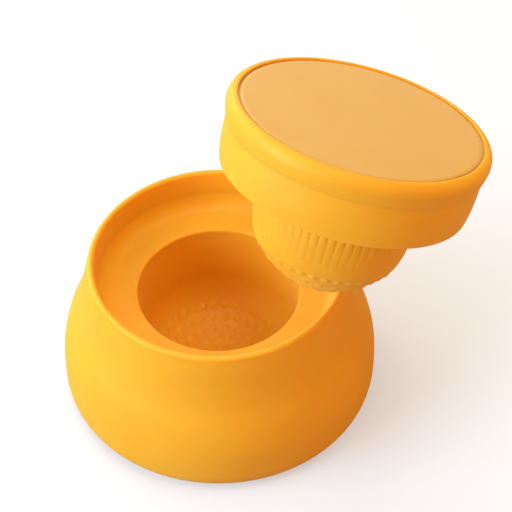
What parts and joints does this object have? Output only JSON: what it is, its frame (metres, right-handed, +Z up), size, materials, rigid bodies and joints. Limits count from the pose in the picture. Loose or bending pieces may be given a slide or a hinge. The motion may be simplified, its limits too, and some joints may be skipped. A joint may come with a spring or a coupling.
{
  "type": "sushi rice mold press",
  "caption": "Bell-shaped rice mold with a recessed shelf and a round cup, and a hand-held press with a rolled rim and a ribbed, dotted, domed plunger.",
  "frame": {"origin": "middle of the sole's underside, on the table below the mold's axis", "axes": "+Z up along the mold's axis, +X to the right and +Y away from the side that is looked at"},
  "size_m": [0.1532, 0.1182, 0.1462],
  "materials": {
    "mold_plastic": "matte",
    "press_plastic": "matte",
    "lid_plastic": "fine texture",
    "sole_rubber": "matte"
  },
  "bodies": {
    "mold": {"mold_body": "mold_plastic", "mold_tray": "mold_plastic", "mold_cup": "mold_plastic", "mold_base": "mold_plastic", "mold_sole": "sole_rubber"},
    "press": {"press_cap": "press_plastic", "press_lid": "lid_plastic", "press_plunger": "press_plastic"}
  },
  "joints": [
    {"name": "press_lift", "type": "slide", "parent": "mold", "child": "press", "axis": [0, 0, 1], "range_m": [-0.005, 0.06]}
  ]
}
